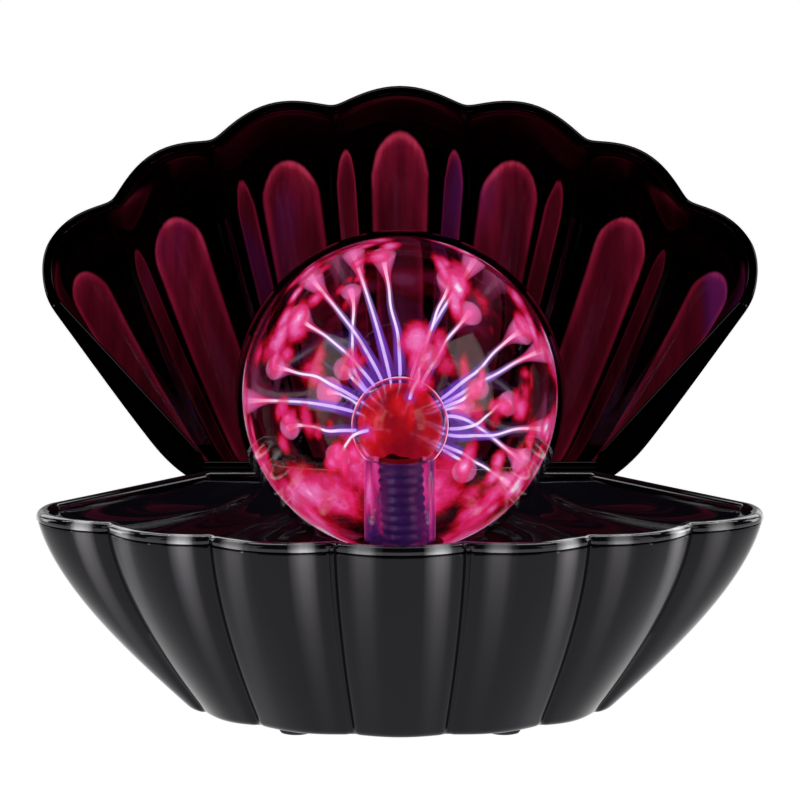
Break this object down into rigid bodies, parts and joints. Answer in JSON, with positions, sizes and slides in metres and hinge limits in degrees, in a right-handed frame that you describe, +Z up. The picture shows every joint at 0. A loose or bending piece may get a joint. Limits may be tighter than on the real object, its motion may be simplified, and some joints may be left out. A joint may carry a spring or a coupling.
{
  "type": "plasma globe lamp",
  "caption": "Plasma globe lamp in a black scallop shell: lobed bowl with a fluted deck, glass globe with electrode, and a hinged upper shell.",
  "frame": {"origin": "centre of the object's footprint rectangle, on the surface that the rubber feet stand on, with the upper shell open", "axes": "+Z up, -Y the front of the shell, +X to the right seen from the front; the hinge axis is parallel to X"},
  "size_m": [0.221, 0.2238, 0.1724],
  "materials": {
    "black_shell": "mirror-gloss black moulding",
    "black_plastic": "fine satin moulding",
    "clear_glass": "clear blown glass",
    "red_coating": "conductive coating lit red by the discharge",
    "dark_steel": "darkened steel",
    "bright_steel": "plated steel",
    "rubber": "matte black rubber",
    "foam": "black foam",
    "board": "green solder mask",
    "ferrite": "dark ferrite",
    "winding": "yellow wound tape",
    "aluminium": "extruded aluminium",
    "capacitor_sleeve": "blue shrink sleeve",
    "red_wire": "red insulated wire"
  },
  "bodies": {
    "base": {"base_bowl": "black_shell", "deck_tray": "black_shell", "bottom_cover": "black_plastic", "cover_screw_1": "dark_steel", "cover_screw_2": "dark_steel", "cover_screw_3": "dark_steel", "cover_screw_4": "dark_steel", "board_screw_1": "bright_steel", "board_screw_2": "bright_steel", "board_screw_3": "bright_steel", "board_screw_4": "bright_steel", "foot_1": "rubber", "foot_2": "rubber", "foot_3": "rubber", "foot_4": "rubber", "globe_glass": "clear_glass", "electrode_glass": "clear_glass", "electrode_coating": "red_coating", "contact_coil": "dark_steel", "neck_plug": "black_plastic", "globe_collar": "black_shell", "globe_gasket": "foam", "circuit_board": "board", "transformer_core": "ferrite", "transformer_winding": "winding", "heat_sink": "aluminium", "power_transistor": "black_plastic", "capacitor_1": "capacitor_sleeve", "capacitor_2": "capacitor_sleeve", "high_voltage_lead": "red_wire", "rear_panel": "black_plastic", "inlet_jack": "black_plastic", "inlet_pin": "bright_steel", "switch_body": "dark_steel", "base_hinge_left": "black_plastic", "base_hinge_right": "black_plastic", "hinge_pin_left": "bright_steel", "hinge_pin_right": "bright_steel"},
    "lid": {"lid_shell": "black_shell", "lid_hinge_left": "black_plastic", "lid_hinge_right": "black_plastic"},
    "mode_knob": {"switch_knob": "black_plastic"}
  },
  "joints": [
    {"name": "lid_swing", "type": "hinge", "parent": "base", "child": "lid", "pos_m": [0, 0.01731, 0.0641], "axis": [1, 0, 0], "range_deg": [0, 88]},
    {"name": "mode_slide", "type": "slide", "parent": "base", "child": "mode_knob", "axis": [1, 0, 0], "range_m": [-0.002, 0.002]}
  ]
}
